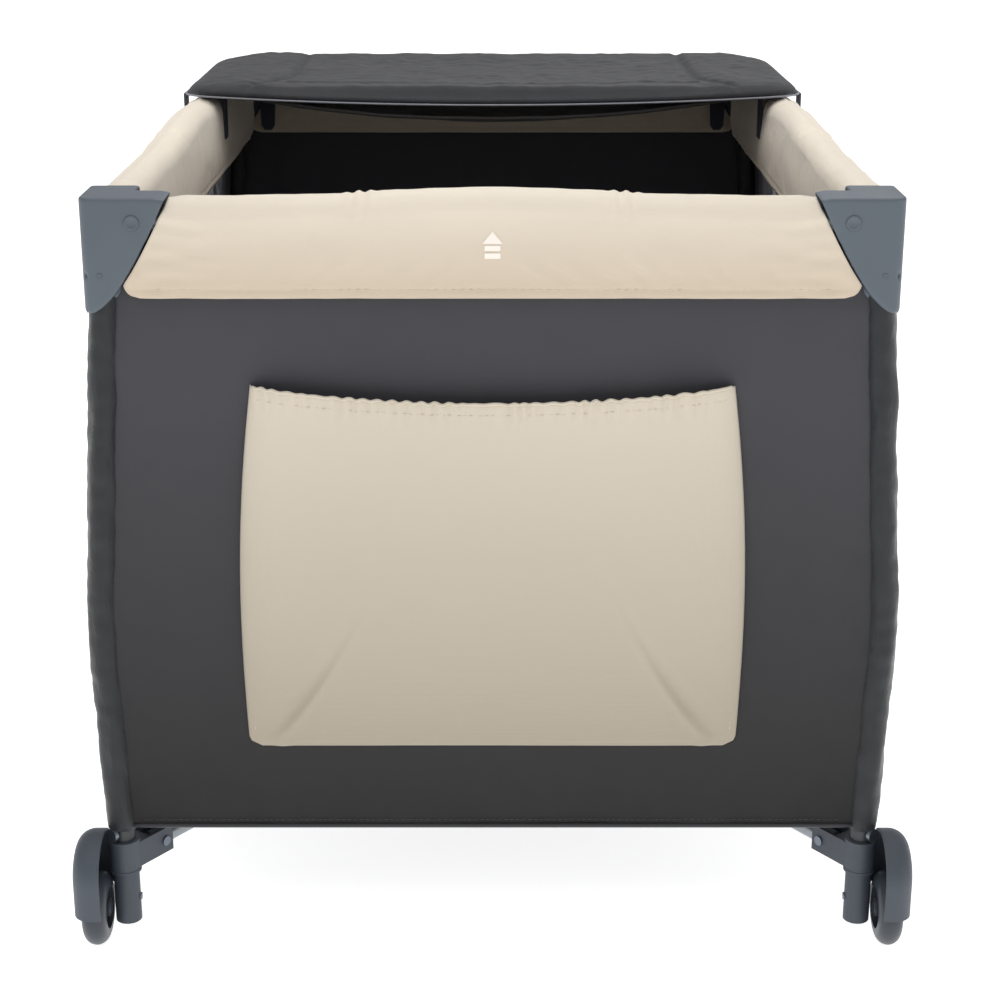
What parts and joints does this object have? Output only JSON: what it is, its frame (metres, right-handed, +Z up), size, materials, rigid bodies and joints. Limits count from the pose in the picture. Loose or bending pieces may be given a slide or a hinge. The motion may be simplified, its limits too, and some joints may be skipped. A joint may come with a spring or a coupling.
{
  "type": "travel play yard",
  "caption": "Folding rectangular play yard on legs and wheels, with padded top rails, fabric and mesh walls, a quilted floor pad, an end pocket and a changing table that hooks over the rails.",
  "frame": {"origin": "centre of the underside of the hub's foot, on the floor, in the middle of the yard", "axes": "+X to the right as seen from the wheeled end, +Y from the wheeled end towards the changing table, +Z up"},
  "size_m": [0.823, 1.111, 0.7646],
  "materials": {
    "leg_tube": "satin",
    "cap": "satin",
    "bracket": "satin",
    "pins": "satin",
    "wheel": "satin",
    "rail": "satin",
    "latch": "matte",
    "button": "matte",
    "rail_cover": "matte",
    "hub_foot": "matte",
    "wall": "matte",
    "mesh_wall": "matte",
    "floor": "matte",
    "pocket": "matte",
    "mattress": "matte",
    "changer_mat": "matte",
    "hooks": "satin"
  },
  "bodies": {
    "leg_nl": {"leg_tube_nl": "leg_tube", "corner_cap_nl": "cap", "base_bracket_nl": "bracket", "leg_pins_nl": "pins", "caster_housing_nl": "bracket", "end_panel_near": "wall", "end_pocket": "pocket", "side_panel_left": "mesh_wall"},
    "leg_nr": {"leg_tube_nr": "leg_tube", "corner_cap_nr": "cap", "base_bracket_nr": "bracket", "leg_pins_nr": "pins", "caster_housing_nr": "bracket", "side_panel_right": "mesh_wall"},
    "leg_fl": {"leg_tube_fl": "leg_tube", "corner_cap_fl": "cap", "base_bracket_fl": "bracket", "leg_pins_fl": "pins", "foot_fl": "bracket", "end_panel_far": "wall"},
    "leg_fr": {"leg_tube_fr": "leg_tube", "corner_cap_fr": "cap", "base_bracket_fr": "bracket", "leg_pins_fr": "pins", "foot_fr": "bracket"},
    "base_nl": {"base_tube_nl": "rail"},
    "base_nr": {"base_tube_nr": "rail"},
    "base_fl": {"base_tube_fl": "rail"},
    "base_fr": {"base_tube_fr": "rail"},
    "hub": {"hub_body": "bracket", "hub_pins": "pins", "hub_foot": "hub_foot", "floor_panel": "floor"},
    "hub_handle": {"hub_handle": "button"},
    "end_rail_nl": {"end_rail_nl": "rail"},
    "side_rail_nl": {"side_rail_nl": "rail"},
    "end_rail_nr": {"end_rail_nr": "rail"},
    "side_rail_nr": {"side_rail_nr": "rail"},
    "end_rail_fl": {"end_rail_fl": "rail"},
    "side_rail_fl": {"side_rail_fl": "rail"},
    "end_rail_fr": {"end_rail_fr": "rail"},
    "side_rail_fr": {"side_rail_fr": "rail"},
    "latch_near": {"latch_housing_near": "latch", "rail_cover_near": "rail_cover"},
    "button_near": {"latch_button_near": "button"},
    "latch_far": {"latch_housing_far": "latch", "rail_cover_far": "rail_cover"},
    "button_far": {"latch_button_far": "button"},
    "latch_left": {"latch_housing_left": "latch", "rail_cover_left": "rail_cover"},
    "button_left": {"latch_button_left": "button"},
    "latch_right": {"latch_housing_right": "latch", "rail_cover_right": "rail_cover"},
    "button_right": {"latch_button_right": "button"},
    "wheel_nl": {"wheel_nl": "wheel"},
    "wheel_nr": {"wheel_nr": "wheel"},
    "mattress": {"mattress": "mattress"},
    "changer": {"changer_frame": "pins", "changer_mat": "changer_mat", "changer_hooks": "hooks"}
  },
  "joints": [
    {"name": "fold", "type": "hinge", "parent": "leg_nl", "child": "base_nl", "pos_m": [-0.34181, -0.47528, 0.085], "axis": [0.8119, -0.5839, 0], "range_deg": [0, 80], "deforming": ["rail_cover_near", "rail_cover_far", "rail_cover_left", "rail_cover_right", "end_panel_near", "end_panel_far", "side_panel_left", "side_panel_right", "floor_panel", "end_pocket", "mattress"]},
    {"name": "hub_pivot_nl", "type": "hinge", "parent": "base_nl", "child": "hub", "pos_m": [-0.04087, -0.05683, 0.085], "axis": [-0.8119, 0.5839, 0], "range_deg": [0, 80]},
    {"name": "hub_pivot_nr", "type": "hinge", "parent": "hub", "child": "base_nr", "pos_m": [0.04087, -0.05683, 0.085], "axis": [0.8119, 0.5839, 0], "range_deg": [0, 80]},
    {"name": "base_pivot_nr", "type": "hinge", "parent": "base_nr", "child": "leg_nr", "pos_m": [0.34181, -0.47528, 0.085], "axis": [-0.8119, -0.5839, 0], "range_deg": [0, 80]},
    {"name": "hub_pivot_fl", "type": "hinge", "parent": "hub", "child": "base_fl", "pos_m": [-0.04087, 0.05683, 0.085], "axis": [-0.8119, -0.5839, 0], "range_deg": [0, 80]},
    {"name": "base_pivot_fl", "type": "hinge", "parent": "base_fl", "child": "leg_fl", "pos_m": [-0.34181, 0.47528, 0.085], "axis": [0.8119, 0.5839, 0], "range_deg": [0, 80]},
    {"name": "hub_pivot_fr", "type": "hinge", "parent": "hub", "child": "base_fr", "pos_m": [0.04087, 0.05683, 0.085], "axis": [-0.8119, 0.5839, 0], "range_deg": [0, 80]},
    {"name": "base_pivot_fr", "type": "hinge", "parent": "base_fr", "child": "leg_fr", "pos_m": [0.34181, 0.47528, 0.085], "axis": [0.8119, -0.5839, 0], "range_deg": [0, 80]},
    {"name": "end_rail_pivot_nl", "type": "hinge", "parent": "leg_nl", "child": "end_rail_nl", "pos_m": [-0.322, -0.511, 0.726], "axis": [0, 1, 0], "range_deg": [0, 80]},
    {"name": "side_rail_pivot_nl", "type": "hinge", "parent": "leg_nl", "child": "side_rail_nl", "pos_m": [-0.348, -0.485, 0.726], "axis": [-1, 0, 0], "range_deg": [0, 80]},
    {"name": "end_rail_pivot_nr", "type": "hinge", "parent": "leg_nr", "child": "end_rail_nr", "pos_m": [0.322, -0.511, 0.726], "axis": [0, -1, 0], "range_deg": [0, 80]},
    {"name": "side_rail_pivot_nr", "type": "hinge", "parent": "leg_nr", "child": "side_rail_nr", "pos_m": [0.348, -0.485, 0.726], "axis": [-1, 0, 0], "range_deg": [0, 80]},
    {"name": "end_rail_pivot_fl", "type": "hinge", "parent": "leg_fl", "child": "end_rail_fl", "pos_m": [-0.322, 0.511, 0.726], "axis": [0, 1, 0], "range_deg": [0, 80]},
    {"name": "side_rail_pivot_fl", "type": "hinge", "parent": "leg_fl", "child": "side_rail_fl", "pos_m": [-0.348, 0.485, 0.726], "axis": [1, 0, 0], "range_deg": [0, 80]},
    {"name": "end_rail_pivot_fr", "type": "hinge", "parent": "leg_fr", "child": "end_rail_fr", "pos_m": [0.322, 0.511, 0.726], "axis": [0, -1, 0], "range_deg": [0, 80]},
    {"name": "side_rail_pivot_fr", "type": "hinge", "parent": "leg_fr", "child": "side_rail_fr", "pos_m": [0.348, 0.485, 0.726], "axis": [1, 0, 0], "range_deg": [0, 80]},
    {"name": "latch_pivot_near", "type": "hinge", "parent": "end_rail_nl", "child": "latch_near", "pos_m": [-0.02106, -0.511, 0.726], "axis": [0, -1, 0], "range_deg": [0, 80]},
    {"name": "latch_pivot_far", "type": "hinge", "parent": "end_rail_fl", "child": "latch_far", "pos_m": [-0.02106, 0.511, 0.726], "axis": [0, -1, 0], "range_deg": [0, 80]},
    {"name": "latch_pivot_left", "type": "hinge", "parent": "side_rail_nl", "child": "latch_left", "pos_m": [-0.348, -0.06655, 0.726], "axis": [1, 0, 0], "range_deg": [0, 80]},
    {"name": "latch_pivot_right", "type": "hinge", "parent": "side_rail_nr", "child": "latch_right", "pos_m": [0.348, -0.06655, 0.726], "axis": [1, 0, 0], "range_deg": [0, 80]},
    {"name": "latch_button_near", "type": "slide", "parent": "latch_near", "child": "button_near", "axis": [0, 0, 1], "range_m": [0, 0.004], "stiffness_N_per_m": 400, "springref_m": -0.003},
    {"name": "latch_button_far", "type": "slide", "parent": "latch_far", "child": "button_far", "axis": [0, 0, 1], "range_m": [0, 0.004], "stiffness_N_per_m": 400, "springref_m": -0.003},
    {"name": "latch_button_left", "type": "slide", "parent": "latch_left", "child": "button_left", "axis": [0, 0, 1], "range_m": [0, 0.004], "stiffness_N_per_m": 400, "springref_m": -0.003},
    {"name": "latch_button_right", "type": "slide", "parent": "latch_right", "child": "button_right", "axis": [0, 0, 1], "range_m": [0, 0.004], "stiffness_N_per_m": 400, "springref_m": -0.003},
    {"name": "hub_handle_pull", "type": "slide", "parent": "hub", "child": "hub_handle", "axis": [0, 0, 1], "range_m": [0, 0.008], "stiffness_N_per_m": 400, "springref_m": -0.003},
    {"name": "mattress_lift", "type": "slide", "parent": "hub", "child": "mattress", "axis": [0, 0, 1], "range_m": [0, 0.26]},
    {"name": "changer_lift", "type": "slide", "parent": "hub", "child": "changer", "axis": [0, 0, 1], "range_m": [0, 0.25]},
    {"name": "wheel_spin_nl", "type": "hinge", "parent": "leg_nl", "child": "wheel_nl", "pos_m": [-0.3935, -0.532, 0.037], "axis": [1, 0, 0], "continuous": true},
    {"name": "wheel_spin_nr", "type": "hinge", "parent": "leg_nr", "child": "wheel_nr", "pos_m": [0.3935, -0.532, 0.037], "axis": [1, 0, 0], "continuous": true}
  ],
  "couplings": [
    {"joint": "hub_pivot_nl", "follows": "fold", "ratio": 1},
    {"joint": "hub_pivot_nr", "follows": "fold", "ratio": 1},
    {"joint": "base_pivot_nr", "follows": "fold", "ratio": 1},
    {"joint": "hub_pivot_fl", "follows": "fold", "ratio": 1},
    {"joint": "base_pivot_fl", "follows": "fold", "ratio": 1},
    {"joint": "hub_pivot_fr", "follows": "fold", "ratio": 1},
    {"joint": "base_pivot_fr", "follows": "fold", "ratio": 1},
    {"joint": "end_rail_pivot_nl", "follows": "fold", "ratio": 1},
    {"joint": "side_rail_pivot_nl", "follows": "fold", "ratio": 1},
    {"joint": "end_rail_pivot_nr", "follows": "fold", "ratio": 1},
    {"joint": "side_rail_pivot_nr", "follows": "fold", "ratio": 1},
    {"joint": "end_rail_pivot_fl", "follows": "fold", "ratio": 1},
    {"joint": "side_rail_pivot_fl", "follows": "fold", "ratio": 1},
    {"joint": "end_rail_pivot_fr", "follows": "fold", "ratio": 1},
    {"joint": "side_rail_pivot_fr", "follows": "fold", "ratio": 1},
    {"joint": "latch_pivot_near", "follows": "fold", "ratio": 1},
    {"joint": "latch_pivot_far", "follows": "fold", "ratio": 1},
    {"joint": "latch_pivot_left", "follows": "fold", "ratio": 1},
    {"joint": "latch_pivot_right", "follows": "fold", "ratio": 1},
    {"joint": "mattress_lift", "follows": "fold", "m_per_rad": 0.17905}
  ]
}
